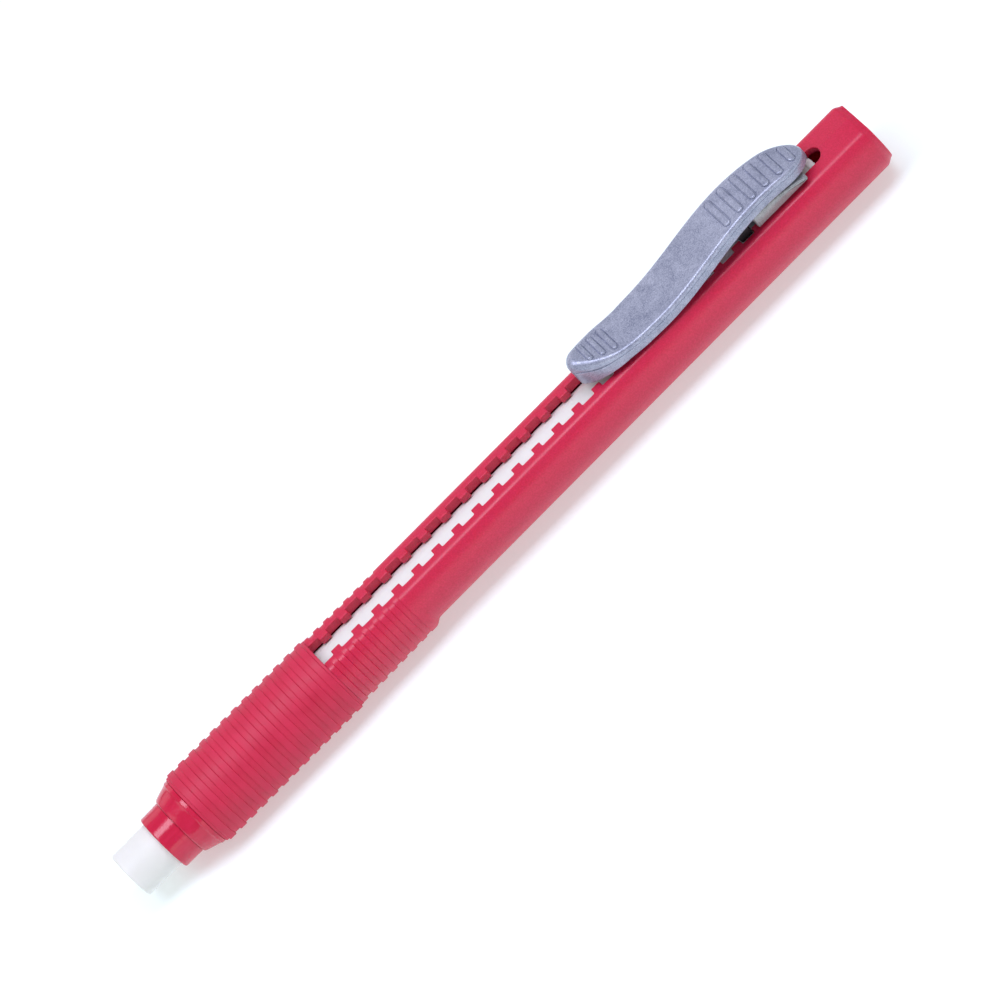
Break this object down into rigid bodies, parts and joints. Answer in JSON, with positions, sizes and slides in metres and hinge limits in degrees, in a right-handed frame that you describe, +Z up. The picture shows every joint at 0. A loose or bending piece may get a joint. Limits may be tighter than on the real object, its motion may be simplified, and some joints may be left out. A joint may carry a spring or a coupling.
{
  "type": "click-advance stick eraser holder",
  "caption": "Pen-shaped eraser holder with a ribbed rubber grip, a toothed slot and a clip-shaped slider that pushes a white eraser stick out of the nose.",
  "frame": {"origin": "middle of the length and width, at the height of the surface that the grip rests on", "axes": "+X along the bore from the nose to the flat tail, +Z up through the slot and the slider, +Y across"},
  "size_m": [0.1244, 0.0108, 0.0146],
  "materials": {
    "barrel_plastic": "fine spark-eroded satin moulding",
    "nose_plastic": "polished moulding",
    "collar_plastic": "polished moulding",
    "grip_rubber": "soft matt rubber",
    "eraser_vinyl": "smooth soft vinyl",
    "holder_plastic": "moulded white",
    "saddle_plastic": "silver-grey flake moulding",
    "lever_plastic": "silver-grey flake moulding",
    "pawl_plastic": "dark self-lubricating moulding",
    "spring_steel": "rolled spring strip"
  },
  "bodies": {
    "barrel_group": {"barrel": "barrel_plastic", "nose_tube": "nose_plastic", "front_collar": "collar_plastic", "grip_sleeve": "grip_rubber"},
    "slider_group": {"slider_saddle": "saddle_plastic", "eraser_holder": "holder_plastic", "return_spring": "spring_steel"},
    "lever_group": {"thumb_lever": "lever_plastic", "latch_pawl": "pawl_plastic"},
    "eraser_group": {"eraser_stick": "eraser_vinyl"}
  },
  "joints": [
    {"name": "slider_travel", "type": "slide", "parent": "barrel_group", "child": "slider_group", "axis": [-1, 0, 0], "range_m": [-0.00336, 0.04364], "deforming": ["latch_pawl"]},
    {"name": "lever_press", "type": "hinge", "parent": "slider_group", "child": "lever_group", "pos_m": [0.04889, 0, 0.01128], "axis": [0, 1, 0], "range_deg": [0, 5.5], "stiffness_Nm_per_rad": 0.02, "springref_deg": -5.73, "deforming": ["return_spring"]},
    {"name": "eraser_pull", "type": "slide", "parent": "slider_group", "child": "eraser_group", "axis": [-1, 0, 0], "range_m": [0, 0.008]}
  ]
}
